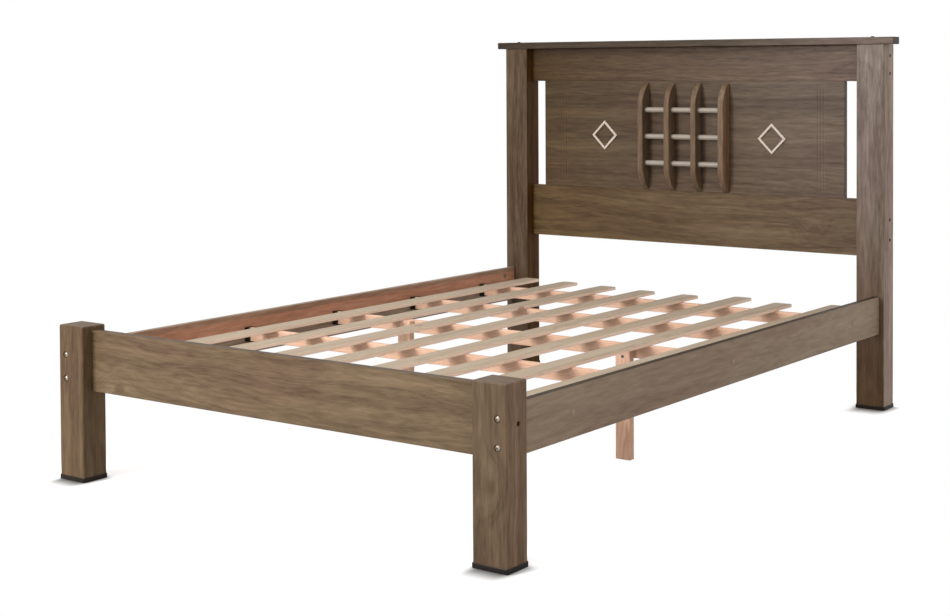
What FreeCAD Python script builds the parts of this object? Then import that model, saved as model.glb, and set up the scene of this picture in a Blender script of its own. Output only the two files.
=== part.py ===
import FreeCAD, Part
import math
import os

# A wooden double bed. Two short posts at the foot and two tall ones at the head carry a foot rail,
# two side rails and a headboard with a bowed lattice. A base of eight lengthwise slats on five
# cross bars hangs in open-topped brackets on the side rails and stands on two centre legs.
# Sizes are in millimetres. X runs across the bed, Y from foot to head and Z up from the floor.
# The origin is on the floor under the middle of the bed. Left and right are as seen from the foot.

# The whole frame, measured over the posts
bed_width = 1450.0
bed_length = 2070.0

# Posts
post_width = 93.0
post_depth = 75.0
foot_post_height = 406.0
head_post_height = 1142.0
post_edge_radius = 4.0

# Plastic shoes under the posts
shoe_height = 12.0
shoe_floor = 4.0
shoe_overhang = 2.0
shoe_play = 0.4
shoe_corner_radius = 5.0

# Side rails and the bolts that hold them
side_rail_thickness = 20.0
side_rail_height = 117.0
side_rail_bottom = 239.0
side_rail_inset = 15.0
rail_bolt_spacing = 62.0
rail_bolt_radius = 3.75
rail_bolt_head_radius = 6.25
rail_bolt_head_rim = 1.5
rail_bolt_head_dome = 2.5
rail_bolt_seat_radius = 8.5
rail_bolt_seat_depth = 3.0
rail_bolt_past_nut = 12.0
barrel_nut_radius = 8.0
barrel_nut_length = 15.0
barrel_nut_recess = 2.0
barrel_nut_from_end = 61.0

# Foot rail
foot_rail_thickness = 20.0
foot_rail_height = 159.5
foot_rail_bottom = 235.0
foot_rail_setback = 31.5

# Headboard boards
head_board_thickness = 20.0
head_board_setback = 35.5
top_rail_height = 115.0
center_panel_height = 371.5
bottom_rail_height = 180.0
head_slot_width = 55.0
board_edge_radius = 1.2

# Upright grooves near the panel's ends
groove_count = 3
groove_radius = 1.4
groove_pitch = 10.6
groove_from_panel_end = 81.7
groove_margin = 20.0

# Cap board over the head posts
cap_overhang = 32.5
cap_thickness = 23.0
cap_depth = 46.0
cap_lead = 5.0
cap_edge_radius = 3.0
cap_screw_from_front = 23.0
cap_screw_radius = 2.5
cap_screw_length = 70.0
cap_screw_head_radius = 6.0
cap_screw_head_rim = 0.8
cap_screw_head_dome = 3.0

# Screws through the posts' outer sides into the ends of the boards
side_screw_radius = 3.5
side_screw_length = 100.0
side_screw_head_radius = 5.0
side_screw_head_rim = 3.0
side_screw_head_dome = 0.8
side_screw_seat_radius = 6.0
side_screw_seat_depth = 35.0
top_rail_screw_heights = (24.0, 80.0)
bottom_rail_screw_heights = (54.5, 117.5)

# Dowels between the panel and its two rails, placed in shares of the panel's half width
dowel_radius = 4.0
dowel_length = 40.0
dowel_end_gap = 1.0
dowel_place_shares = (-0.74, -0.36, 0.36, 0.74)

# Lattice on the panel: bowed bars with round rods through them
lattice_bar_count = 4
lattice_bar_width = 20.0
lattice_bar_pitch = 103.0
lattice_bar_height = 363.0
lattice_bar_straight = 200.0
lattice_bar_depth = 45.0
lattice_bar_tip = 4.0
lattice_bar_edge_radius = 2.0
lattice_drop = 2.5
lattice_rod_names = ("bottom", "middle", "top")
lattice_rod_radius = 9.0
lattice_rod_pitch = 90.5
lattice_rod_from_panel = 20.0
lattice_rod_socket = 12.0

# Diamond frames on the panel
diamond_span = 101.5
diamond_stroke = 7.0
diamond_thickness = 5.0
diamond_from_middle = 322.5
diamond_edge_radius = 0.8

# Cross bars, on edge, and the brackets that hold their ends
cross_bar_count = 5
cross_bar_width = 21.0
cross_bar_height = 36.5
cross_bar_above_rail_bottom = 39.0
cross_bar_end_inset = 198.0
cross_bar_end_gap = 2.0
cross_bar_edge_radius = 1.5
bracket_reach = 20.0
bracket_wall = 2.7
bracket_back = 4.0
bracket_floor = 3.0
bracket_play = 0.3
bracket_above_bar = 1.5

# Screws of the brackets and the covers over them
machine_screw_radius = 2.5
machine_screw_head_radius = 4.5
machine_screw_head_rim = 2.0
machine_screw_head_dome = 1.0
machine_screw_seat_depth = 7.0
cover_stem_radius = 6.7
cover_stem_play = 0.3
cover_stem_length = 2.5
cover_radius = 8.0
cover_rim = 0.6
cover_dome = 0.9
wood_screw_radius = 1.8
wood_screw_length = 18.0
wood_screw_head_radius = 4.0
wood_screw_head_rim = 1.0
wood_screw_head_dome = 0.7

# Slats, nailed on the cross bars. They lie unevenly: each is pushed towards the head by its share
# of the reach.
slat_count = 8
slat_width = 64.0
slat_thickness = 9.0
slat_corner_radius = 12.0
slat_edge_radius = 1.0
slat_side_gap = 63.4
slat_head_gap = 18.0
slat_foot_gap = 7.5
slat_shift_reach = 69.0
slat_shift_shares = (1.0, 0.84, 0.54, 0.2, 0.07, 0.78, 0.0, 0.78)
nail_radius = 1.3
nail_length = 34.0
nail_head_radius = 2.6
nail_head_rim = 0.5
nail_head_dome = 0.4

# Centre legs against the middle cross bar
leg_width = 46.0
leg_depth = 22.0
leg_spacing = 774.0
leg_edge_radius = 1.5
leg_screw_radius = 2.0
leg_screw_length = 36.0
leg_screw_head_radius = 4.5
leg_screw_head_rim = 0.6
leg_screw_head_dome = 1.2
leg_screw_below_bar_top = 30.5

# Clearance round the shank and head of every fastener, and how far cuts run past a face
fastener_play = 0.15
overrun = 5.0

ACROSS = FreeCAD.Vector(1, 0, 0)
ALONG = FreeCAD.Vector(0, 1, 0)
UP = FreeCAD.Vector(0, 0, 1)
LEFT_AND_RIGHT = (("left", -1), ("right", 1))
FULL_TURN = 360.0

# Places that several pieces share, worked out from the sizes above
half_width = bed_width / 2
half_length = bed_length / 2
post_center_x = half_width - post_width / 2
post_center_y = half_length - post_depth / 2
post_inner_x = half_width - post_width
post_inner_y = half_length - post_depth
side_rail_outer_x = half_width - side_rail_inset
side_rail_inner_x = side_rail_outer_x - side_rail_thickness
side_rail_center_x = side_rail_outer_x - side_rail_thickness / 2
side_rail_center_z = side_rail_bottom + side_rail_height / 2
rail_bolt_heights = (side_rail_center_z - rail_bolt_spacing / 2, side_rail_center_z + rail_bolt_spacing / 2)
foot_rail_front_y = -half_length + foot_rail_setback
foot_rail_back_y = foot_rail_front_y + foot_rail_thickness
foot_rail_center_z = foot_rail_bottom + foot_rail_height / 2
head_board_front_y = post_inner_y + head_board_setback
head_board_back_y = head_board_front_y + head_board_thickness
head_board_center_y = head_board_front_y + head_board_thickness / 2
top_rail_bottom = head_post_height - top_rail_height
center_panel_bottom = top_rail_bottom - center_panel_height
bottom_rail_bottom = center_panel_bottom - bottom_rail_height
panel_end_x = post_inner_x - head_slot_width
lattice_center_z = center_panel_bottom + center_panel_height / 2 - lattice_drop
cap_front_y = post_inner_y - cap_lead
cap_screw_y = cap_front_y + cap_screw_from_front
cap_top = head_post_height + cap_thickness
cross_bar_bottom = side_rail_bottom + cross_bar_above_rail_bottom
cross_bar_top = cross_bar_bottom + cross_bar_height
cross_bar_end_x = side_rail_inner_x - bracket_back - cross_bar_end_gap
cross_bar_pitch = 2 * (post_inner_y - cross_bar_end_inset) / (cross_bar_count - 1)
cross_bar_places = [
    cross_bar_end_inset - post_inner_y + index * cross_bar_pitch for index in range(cross_bar_count)
]
slat_pitch = (2 * (side_rail_inner_x - slat_side_gap) - slat_width) / (slat_count - 1)
slat_places = [
    slat_side_gap - side_rail_inner_x + slat_width / 2 + index * slat_pitch for index in range(slat_count)
]
slat_length = post_inner_y - foot_rail_back_y - slat_head_gap - slat_foot_gap - slat_shift_reach
leg_back_y = cross_bar_places[cross_bar_count // 2] - cross_bar_width / 2
leg_screw_z = cross_bar_top - leg_screw_below_bar_top


def point(x, y, z):
    return FreeCAD.Vector(x, y, z)


def save(name, shape):
    """Write one piece, or one group of like pieces, to its own file."""
    shape.exportStep("parts/" + name + ".step")


def block(low, high):
    size = high - low
    return Part.makeBox(size.x, size.y, size.z, low)


def eased_board(low, high, edge_radius):
    """A planed board between two corners, with all its edges eased."""
    board = block(low, high)
    return board.makeFillet(edge_radius, board.Edges)


def upright_edges(shape):
    boxes = [(edge, edge.BoundBox) for edge in shape.Edges]
    return [edge for edge, box in boxes if box.ZLength > box.XLength + box.YLength]


def top_edges(shape):
    middle = shape.BoundBox.Center.z
    return [edge for edge in shape.Edges if edge.BoundBox.ZMin > middle]


def bored(shape, mouth, direction, radius, depth):
    """The shape with a round hole, from its mouth on a face inwards along a direction."""
    start = mouth - direction * overrun
    return shape.cut(Part.makeCylinder(radius, depth + overrun, start, direction))


def fastener(seat, inwards, shank_radius, shank_length, head_radius, rim, dome):
    """A screw, bolt or nail: its head has a straight rim and a dome, and its underside is on the seat."""
    ball_radius = (head_radius**2 + dome**2) / (2 * dome)
    half_angle = math.asin(head_radius / ball_radius) / 2
    shoulder_z = rim + dome - ball_radius + ball_radius * math.cos(half_angle)
    shoulder = point(ball_radius * math.sin(half_angle), 0, shoulder_z)
    outline = [
        Part.LineSegment(point(0, 0, -shank_length), point(shank_radius, 0, -shank_length)),
        Part.LineSegment(point(shank_radius, 0, -shank_length), point(shank_radius, 0, 0)),
        Part.LineSegment(point(shank_radius, 0, 0), point(head_radius, 0, 0)),
        Part.LineSegment(point(head_radius, 0, 0), point(head_radius, 0, rim)),
        Part.Arc(point(head_radius, 0, rim), shoulder, point(0, 0, rim + dome)),
        Part.LineSegment(point(0, 0, rim + dome), point(0, 0, -shank_length)),
    ]
    profile = Part.Face(Part.Wire([piece.toShape() for piece in outline]))
    solid = profile.revolve(point(0, 0, 0), UP, FULL_TURN)
    solid.Placement = FreeCAD.Placement(seat, FreeCAD.Rotation(UP, inwards * -1))
    return solid


def outer_side(side, y, z):
    """A point on the outer side of the posts on one side of the bed."""
    return point(side * half_width, y, z)


def make_post(side, end, top):
    """A post that stands in its shoe. The foot posts have a rounded top, the head posts a flat one."""
    low = point(side * post_center_x - post_width / 2, end * post_center_y - post_depth / 2, shoe_floor)
    high = point(side * post_center_x + post_width / 2, end * post_center_y + post_depth / 2, top)
    post = block(low, high)
    edges = upright_edges(post)
    if end < 0:
        edges = edges + top_edges(post)
    post = post.makeFillet(post_edge_radius, edges)
    for height in rail_bolt_heights:
        mouth = point(side * side_rail_center_x, end * half_length, height)
        inwards = ALONG * -end
        post = bored(post, mouth, inwards, rail_bolt_seat_radius, rail_bolt_seat_depth)
        post = bored(post, mouth, inwards, rail_bolt_radius + fastener_play, post_depth + overrun)
    return post


def side_screw_hole(piece, side, y, z):
    """Cut the stepped hole of one screw that runs in from a post's outer side."""
    mouth = outer_side(side, y, z)
    inwards = ACROSS * -side
    depth = side_screw_seat_depth + side_screw_length + fastener_play
    piece = bored(piece, mouth, inwards, side_screw_seat_radius, side_screw_seat_depth)
    return bored(piece, mouth, inwards, side_screw_radius + fastener_play, depth)


def side_screw(side, y, z):
    seat = outer_side(side, y, z) - ACROSS * (side * side_screw_seat_depth)
    return fastener(
        seat,
        ACROSS * -side,
        side_screw_radius,
        side_screw_length,
        side_screw_head_radius,
        side_screw_head_rim,
        side_screw_head_dome,
    )


head_screw_heights = [top_rail_bottom + height for height in top_rail_screw_heights]
head_screw_heights += [bottom_rail_bottom + height for height in bottom_rail_screw_heights]


def make_posts():
    for name, side in LEFT_AND_RIGHT:
        foot_post = make_post(side, -1, foot_post_height)
        foot_screw_y = foot_rail_front_y + foot_rail_thickness / 2
        save("foot_post_" + name, side_screw_hole(foot_post, side, foot_screw_y, foot_rail_center_z))
        head_post = make_post(side, 1, head_post_height)
        for height in head_screw_heights:
            head_post = side_screw_hole(head_post, side, head_board_center_y, height)
        cap_screw_depth = cap_screw_length - cap_thickness + fastener_play
        mouth = point(side * post_center_x, cap_screw_y, head_post_height)
        head_post = bored(head_post, mouth, UP * -1, cap_screw_radius + fastener_play, cap_screw_depth)
        save("head_post_" + name, head_post)


def make_shoe(side, end):
    """A shallow cup with a little play round the post that stands in it."""
    reach_x = post_width / 2 + shoe_overhang
    reach_y = post_depth / 2 + shoe_overhang
    inner_x = post_width / 2 + shoe_play
    inner_y = post_depth / 2 + shoe_play
    center = point(side * post_center_x, end * post_center_y, 0)
    cup = block(center - point(reach_x, reach_y, 0), center + point(reach_x, reach_y, shoe_height))
    cup = cup.makeFillet(shoe_corner_radius, upright_edges(cup))
    pocket = block(
        center - point(inner_x, inner_y, -shoe_floor),
        center + point(inner_x, inner_y, shoe_height + overrun),
    )
    pocket = pocket.makeFillet(post_edge_radius, upright_edges(pocket))
    return cup.cut(pocket)


def make_shoes():
    for name, side in LEFT_AND_RIGHT:
        save("post_shoe_foot_" + name, make_shoe(side, -1))
        save("post_shoe_head_" + name, make_shoe(side, 1))


def rail_bolt(side, end, height):
    seat = point(side * side_rail_center_x, end * (half_length - rail_bolt_seat_depth), height)
    length = post_depth - rail_bolt_seat_depth + barrel_nut_from_end + rail_bolt_past_nut
    return fastener(
        seat,
        ALONG * -end,
        rail_bolt_radius,
        length,
        rail_bolt_head_radius,
        rail_bolt_head_rim,
        rail_bolt_head_dome,
    )


def nut_face(side, end, height):
    """Where a barrel nut's hole opens on the inner face of a side rail."""
    return point(side * side_rail_inner_x, end * (post_inner_y - barrel_nut_from_end), height)


def barrel_nut(side, end, height):
    outwards = ACROSS * side
    start = nut_face(side, end, height) + outwards * barrel_nut_recess
    nut = Part.makeCylinder(barrel_nut_radius, barrel_nut_length, start, outwards)
    bolt_line = point(side * side_rail_center_x, start.y, height)
    bolt_way = Part.makeCylinder(
        rail_bolt_radius + fastener_play,
        2 * (barrel_nut_radius + overrun),
        bolt_line - ALONG * (barrel_nut_radius + overrun),
        ALONG,
    )
    return nut.cut(bolt_way)


def make_side_rail(side):
    """A side rail with the ways of its bolts and barrel nuts and the holes of its bracket screws."""
    outwards = ACROSS * side
    inner = side * side_rail_inner_x
    outer = side * side_rail_outer_x
    low = point(min(inner, outer), -post_inner_y, side_rail_bottom)
    high = point(max(inner, outer), post_inner_y, side_rail_bottom + side_rail_height)
    rail = eased_board(low, high, board_edge_radius)
    for end in (-1, 1):
        for height in rail_bolt_heights:
            bolt_mouth = point(side * side_rail_center_x, end * post_inner_y, height)
            bolt_depth = barrel_nut_from_end + rail_bolt_past_nut + fastener_play
            rail = bored(rail, bolt_mouth, ALONG * -end, rail_bolt_radius + fastener_play, bolt_depth)
            nut_depth = barrel_nut_recess + barrel_nut_length + fastener_play
            nut_mouth = nut_face(side, end, height)
            rail = bored(rail, nut_mouth, outwards, barrel_nut_radius + fastener_play, nut_depth)
    for index, place in enumerate(cross_bar_places):
        if has_machine_screw(index):
            mouth = point(outer, place, side_rail_center_z)
            seat_radius = cover_stem_radius + cover_stem_play
            rail = bored(rail, mouth, outwards * -1, seat_radius, machine_screw_seat_depth)
            shank_way = machine_screw_radius + fastener_play
            rail = bored(rail, mouth, outwards * -1, shank_way, side_rail_thickness + overrun)
        else:
            mouth = point(inner, place, side_rail_center_z)
            depth = wood_screw_length - bracket_screw_seat + fastener_play
            rail = bored(rail, mouth, outwards, wood_screw_radius + fastener_play, depth)
    return rail


# Brackets 1, 3 and 5 are held by a machine screw from outside, 2 and 4 by a wood screw from inside.
wood_screw_recess = wood_screw_head_rim + wood_screw_head_dome
bracket_screw_seat = bracket_back - wood_screw_recess


def has_machine_screw(index):
    return index % 2 == 0


def make_bracket(side, index):
    """An open-topped cup on the rail's inner face, open towards the middle of the bed."""
    outwards = ACROSS * side
    place = cross_bar_places[index]
    half_pocket = cross_bar_width / 2 + bracket_play
    half_outer = half_pocket + bracket_wall
    face = side * side_rail_inner_x
    mouth_x = face - side * bracket_reach
    back_x = face - side * bracket_back
    past_mouth_x = mouth_x - side * overrun
    bottom = cross_bar_bottom - bracket_floor
    top = cross_bar_top + bracket_above_bar
    cup = block(
        point(min(face, mouth_x), place - half_outer, bottom),
        point(max(face, mouth_x), place + half_outer, top),
    )
    pocket = block(
        point(min(back_x, past_mouth_x), place - half_pocket, cross_bar_bottom),
        point(max(back_x, past_mouth_x), place + half_pocket, top + overrun),
    )
    cup = cup.cut(pocket)
    inside = point(back_x, place, side_rail_center_z)
    if has_machine_screw(index):
        return bored(cup, inside, outwards, machine_screw_radius + fastener_play, bracket_back + overrun)
    cup = bored(cup, inside, outwards, wood_screw_head_radius + fastener_play, wood_screw_recess)
    return bored(cup, inside, outwards, wood_screw_radius + fastener_play, bracket_back + overrun)


def machine_screw(side, place):
    seat = point(side * (side_rail_outer_x - machine_screw_seat_depth), place, side_rail_center_z)
    length = side_rail_thickness - machine_screw_seat_depth + bracket_back
    return fastener(
        seat,
        ACROSS * -side,
        machine_screw_radius,
        length,
        machine_screw_head_radius,
        machine_screw_head_rim,
        machine_screw_head_dome,
    )


def wood_screw(side, place):
    seat = point(side * (side_rail_inner_x - bracket_screw_seat), place, side_rail_center_z)
    return fastener(
        seat,
        ACROSS * side,
        wood_screw_radius,
        wood_screw_length,
        wood_screw_head_radius,
        wood_screw_head_rim,
        wood_screw_head_dome,
    )


def screw_cover(side, place):
    seat = point(side * side_rail_outer_x, place, side_rail_center_z)
    return fastener(
        seat, ACROSS * -side, cover_stem_radius, cover_stem_length, cover_radius, cover_rim, cover_dome
    )


def make_side_rails():
    bolts = {-1: [], 1: []}
    nuts = []
    machine_screws = []
    wood_screws = []
    covers = []
    for name, side in LEFT_AND_RIGHT:
        save("side_rail_" + name, make_side_rail(side))
        brackets = [make_bracket(side, index) for index in range(cross_bar_count)]
        save("bar_brackets_" + name, Part.makeCompound(brackets))
        for end in (-1, 1):
            bolts[end] += [rail_bolt(side, end, height) for height in rail_bolt_heights]
            nuts += [barrel_nut(side, end, height) for height in rail_bolt_heights]
        for index, place in enumerate(cross_bar_places):
            if has_machine_screw(index):
                machine_screws.append(machine_screw(side, place))
                covers.append(screw_cover(side, place))
            else:
                wood_screws.append(wood_screw(side, place))
    save("rail_bolts_foot", Part.makeCompound(bolts[-1]))
    save("rail_bolts_head", Part.makeCompound(bolts[1]))
    save("barrel_nuts", Part.makeCompound(nuts))
    save("bracket_machine_screws", Part.makeCompound(machine_screws))
    save("bracket_wood_screws", Part.makeCompound(wood_screws))
    save("rail_screw_covers", Part.makeCompound(covers))


def make_foot_rail():
    rail = eased_board(
        point(-post_inner_x, foot_rail_front_y, foot_rail_bottom),
        point(post_inner_x, foot_rail_back_y, foot_rail_bottom + foot_rail_height),
        board_edge_radius,
    )
    screw_y = foot_rail_front_y + foot_rail_thickness / 2
    for name, side in LEFT_AND_RIGHT:
        rail = side_screw_hole(rail, side, screw_y, foot_rail_center_z)
    save("foot_rail", rail)
    screws = [side_screw(side, screw_y, foot_rail_center_z) for name, side in LEFT_AND_RIGHT]
    save("foot_rail_screws", Part.makeCompound(screws))


def dowel_hole(board, x, joint_height, direction):
    mouth = point(x, head_board_center_y, joint_height)
    return bored(board, mouth, direction, dowel_radius + fastener_play, dowel_length / 2 + dowel_end_gap)


def make_headboard_boards():
    """Top rail, panel and bottom rail, edge to edge and doweled together."""
    dowel_places = [share * panel_end_x for share in dowel_place_shares]
    board_spans = {
        "head_top_rail": (post_inner_x, top_rail_bottom, head_post_height),
        "head_center_panel": (panel_end_x, center_panel_bottom, top_rail_bottom),
        "head_bottom_rail": (post_inner_x, bottom_rail_bottom, center_panel_bottom),
    }
    boards = {}
    for name, (end_x, bottom, top) in board_spans.items():
        low = point(-end_x, head_board_front_y, bottom)
        high = point(end_x, head_board_back_y, top)
        boards[name] = eased_board(low, high, board_edge_radius)
    for side_name, side in LEFT_AND_RIGHT:
        for name in ("head_top_rail", "head_bottom_rail"):
            bottom, top = board_spans[name][1:]
            for height in head_screw_heights:
                if bottom < height < top:
                    boards[name] = side_screw_hole(boards[name], side, head_board_center_y, height)
    dowels = []
    joints = (
        ("head_bottom_rail", "head_center_panel", center_panel_bottom),
        ("head_center_panel", "head_top_rail", top_rail_bottom),
    )
    for lower, upper, height in joints:
        for x in dowel_places:
            boards[lower] = dowel_hole(boards[lower], x, height, UP * -1)
            boards[upper] = dowel_hole(boards[upper], x, height, UP)
            start = point(x, head_board_center_y, height - dowel_length / 2)
            dowels.append(Part.makeCylinder(dowel_radius, dowel_length, start, UP))
    groove_bottom = center_panel_bottom + groove_margin
    groove_length = center_panel_height - 2 * groove_margin
    for side_name, side in LEFT_AND_RIGHT:
        for index in range(groove_count):
            from_end = groove_from_panel_end + (index - (groove_count - 1) / 2) * groove_pitch
            start = point(side * (panel_end_x - from_end), head_board_front_y, groove_bottom)
            groove = Part.makeCylinder(groove_radius, groove_length, start, UP)
            boards["head_center_panel"] = boards["head_center_panel"].cut(groove)
    for name, board in boards.items():
        save(name, board)
    save("panel_dowels", Part.makeCompound(dowels))
    screws = []
    for side_name, side in LEFT_AND_RIGHT:
        screws += [side_screw(side, head_board_center_y, height) for height in head_screw_heights]
    save("head_frame_screws", Part.makeCompound(screws))


def make_cap():
    cap = eased_board(
        point(-half_width - cap_overhang, cap_front_y, head_post_height),
        point(half_width + cap_overhang, cap_front_y + cap_depth, cap_top),
        cap_edge_radius,
    )
    screws = []
    for name, side in LEFT_AND_RIGHT:
        seat = point(side * post_center_x, cap_screw_y, cap_top)
        cap = bored(cap, seat, UP * -1, cap_screw_radius + fastener_play, cap_thickness + overrun)
        screws.append(
            fastener(
                seat,
                UP * -1,
                cap_screw_radius,
                cap_screw_length,
                cap_screw_head_radius,
                cap_screw_head_rim,
                cap_screw_head_dome,
            )
        )
    save("head_cap_board", cap)
    save("cap_screws", Part.makeCompound(screws))


def lattice_bar_blank(left_x):
    """A bar with a flat back on the panel and a front that bows out to a straight middle."""
    half_height = lattice_bar_height / 2
    half_straight = lattice_bar_straight / 2
    rise = half_height - half_straight
    drop = lattice_bar_depth - lattice_bar_tip
    bow_radius = (rise**2 + drop**2) / (2 * drop)
    half_angle = math.asin(rise / bow_radius) / 2
    bow_depth = lattice_bar_depth - bow_radius + bow_radius * math.cos(half_angle)
    bow_height = half_straight + bow_radius * math.sin(half_angle)

    def on_side(depth, height):
        return point(left_x, head_board_front_y - depth, lattice_center_z + height)

    outline = [
        Part.LineSegment(on_side(0, -half_height), on_side(0, half_height)),
        Part.LineSegment(on_side(0, half_height), on_side(lattice_bar_tip, half_height)),
        Part.Arc(
            on_side(lattice_bar_tip, half_height),
            on_side(bow_depth, bow_height),
            on_side(lattice_bar_depth, half_straight),
        ),
        Part.LineSegment(
            on_side(lattice_bar_depth, half_straight), on_side(lattice_bar_depth, -half_straight)
        ),
        Part.Arc(
            on_side(lattice_bar_depth, -half_straight),
            on_side(bow_depth, -bow_height),
            on_side(lattice_bar_tip, -half_height),
        ),
        Part.LineSegment(on_side(lattice_bar_tip, -half_height), on_side(0, -half_height)),
    ]
    face = Part.Face(Part.Wire([piece.toShape() for piece in outline]))
    bar = face.extrude(ACROSS * lattice_bar_width)
    front_limit = head_board_front_y - lattice_bar_tip
    long_edges = [edge for edge in upright_edges(bar) if edge.BoundBox.YMin < front_limit]
    return bar.makeFillet(lattice_bar_edge_radius, long_edges)


def make_lattice():
    """Bars on the panel, with rods through the inner bars and into sockets of the outer ones."""
    first_x = -lattice_bar_pitch * (lattice_bar_count - 1) / 2
    rod_start_x = first_x + lattice_bar_width / 2 - lattice_rod_socket
    rod_y = head_board_front_y - lattice_rod_from_panel
    rods = {}
    rod_ways = []
    for index, name in enumerate(lattice_rod_names):
        height = lattice_center_z + (index - (len(lattice_rod_names) - 1) / 2) * lattice_rod_pitch
        start = point(rod_start_x, rod_y, height)
        length = -2 * rod_start_x
        rods[name] = Part.makeCylinder(lattice_rod_radius, length, start, ACROSS)
        rod_ways.append(Part.makeCylinder(lattice_rod_radius + fastener_play, length, start, ACROSS))
    for index in range(lattice_bar_count):
        center_x = first_x + index * lattice_bar_pitch
        bar = lattice_bar_blank(center_x - lattice_bar_width / 2)
        for way in rod_ways:
            bar = bar.cut(way)
        save("lattice_bar_" + str(index + 1), bar)
    for name, rod in rods.items():
        save("lattice_rod_" + name, rod)


def diamond_outline(center_x, half_span, y):
    corners = [
        point(center_x - half_span, y, lattice_center_z),
        point(center_x, y, lattice_center_z + half_span),
        point(center_x + half_span, y, lattice_center_z),
        point(center_x, y, lattice_center_z - half_span),
    ]
    return Part.Face(Part.makePolygon(corners + corners[:1]))


def make_diamonds():
    """Thin square frames that stand on one corner, glued on the panel."""
    inner_half_span = diamond_span / 2 - diamond_stroke * math.sqrt(2)
    front_y = head_board_front_y - diamond_thickness
    for name, side in LEFT_AND_RIGHT:
        center_x = side * diamond_from_middle
        outer = diamond_outline(center_x, diamond_span / 2, head_board_front_y)
        plate = outer.extrude(ALONG * -diamond_thickness)
        middle_y = plate.BoundBox.Center.y
        front_edges = [edge for edge in plate.Edges if edge.BoundBox.YMax < middle_y]
        plate = plate.makeFillet(diamond_edge_radius, front_edges)
        inner = diamond_outline(center_x, inner_half_span, front_y - overrun)
        save("diamond_" + name, plate.cut(inner.extrude(ALONG * (diamond_thickness + 2 * overrun))))


def nail_lines():
    return [(x, y) for x in slat_places for y in cross_bar_places]


def make_cross_bars():
    nail_depth = nail_length - slat_thickness + fastener_play
    for index, place in enumerate(cross_bar_places):
        bar = eased_board(
            point(-cross_bar_end_x, place - cross_bar_width / 2, cross_bar_bottom),
            point(cross_bar_end_x, place + cross_bar_width / 2, cross_bar_top),
            cross_bar_edge_radius,
        )
        for x in slat_places:
            bar = bored(bar, point(x, place, cross_bar_top), UP * -1, nail_radius + fastener_play, nail_depth)
        if index == cross_bar_count // 2:
            depth = leg_screw_length - leg_depth + fastener_play
            for name, side in LEFT_AND_RIGHT:
                mouth = point(side * leg_spacing / 2, leg_back_y, leg_screw_z)
                bar = bored(bar, mouth, ALONG, leg_screw_radius + fastener_play, depth)
        save("cross_bar_" + str(index + 1), bar)


def make_slat(x, share):
    """A slat with rounded corners. Its share says how far it is pushed towards the head."""
    head_end = post_inner_y - slat_head_gap - slat_shift_reach * (1 - share)
    slat = block(
        point(x - slat_width / 2, head_end - slat_length, cross_bar_top),
        point(x + slat_width / 2, head_end, cross_bar_top + slat_thickness),
    )
    slat = slat.makeFillet(slat_corner_radius, upright_edges(slat))
    rims = [edge for edge in slat.Edges if edge.BoundBox.ZLength < slat_thickness / 2]
    slat = slat.makeFillet(slat_edge_radius, rims)
    head_depth = nail_head_rim + nail_head_dome
    for y in cross_bar_places:
        mouth = point(x, y, cross_bar_top + slat_thickness)
        slat = bored(slat, mouth, UP * -1, nail_head_radius + fastener_play, head_depth)
        slat = bored(slat, mouth, UP * -1, nail_radius + fastener_play, slat_thickness + overrun)
    return slat


def make_slats():
    for index, x in enumerate(slat_places):
        share = slat_shift_shares[index % len(slat_shift_shares)]
        save("slat_" + str(index + 1), make_slat(x, share))
    seat_z = cross_bar_top + slat_thickness - nail_head_rim - nail_head_dome
    shank = nail_length - nail_head_rim - nail_head_dome
    nails = []
    for x, y in nail_lines():
        seat = point(x, y, seat_z)
        nails.append(
            fastener(seat, UP * -1, nail_radius, shank, nail_head_radius, nail_head_rim, nail_head_dome)
        )
    save("slat_nails", Part.makeCompound(nails))


def make_legs():
    """Legs that stand on the floor against the foot-facing side of the middle cross bar."""
    screws = []
    for name, side in LEFT_AND_RIGHT:
        center_x = side * leg_spacing / 2
        leg = eased_board(
            point(center_x - leg_width / 2, leg_back_y - leg_depth, 0),
            point(center_x + leg_width / 2, leg_back_y, cross_bar_top),
            leg_edge_radius,
        )
        seat = point(center_x, leg_back_y - leg_depth, leg_screw_z)
        leg = bored(leg, seat, ALONG, leg_screw_radius + fastener_play, leg_depth + overrun)
        save("center_leg_" + name, leg)
        screws.append(
            fastener(
                seat,
                ALONG,
                leg_screw_radius,
                leg_screw_length,
                leg_screw_head_radius,
                leg_screw_head_rim,
                leg_screw_head_dome,
            )
        )
    save("leg_screws", Part.makeCompound(screws))


os.makedirs("parts", exist_ok=True)
make_posts()
make_shoes()
make_side_rails()
make_foot_rail()
make_headboard_boards()
make_cap()
make_lattice()
make_diamonds()
make_cross_bars()
make_slats()
make_legs()
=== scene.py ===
# %% [markdown]
# # A double bed in stained pine
# The bed has two short posts at the foot, two tall ones at the head, a headboard with a bowed lattice,
# two side rails and a loose base of slats. Its shapes are already exact solids, so this lesson is
# mostly about finishes: stained and raw wood, moulded plastic and small steel parts, all made from
# nodes. The few pieces that a close look would find too plain are built again in mesh code.
#
# Everything is in metres. X runs across the bed, Y from the foot to the head, Z up from the floor.

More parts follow.
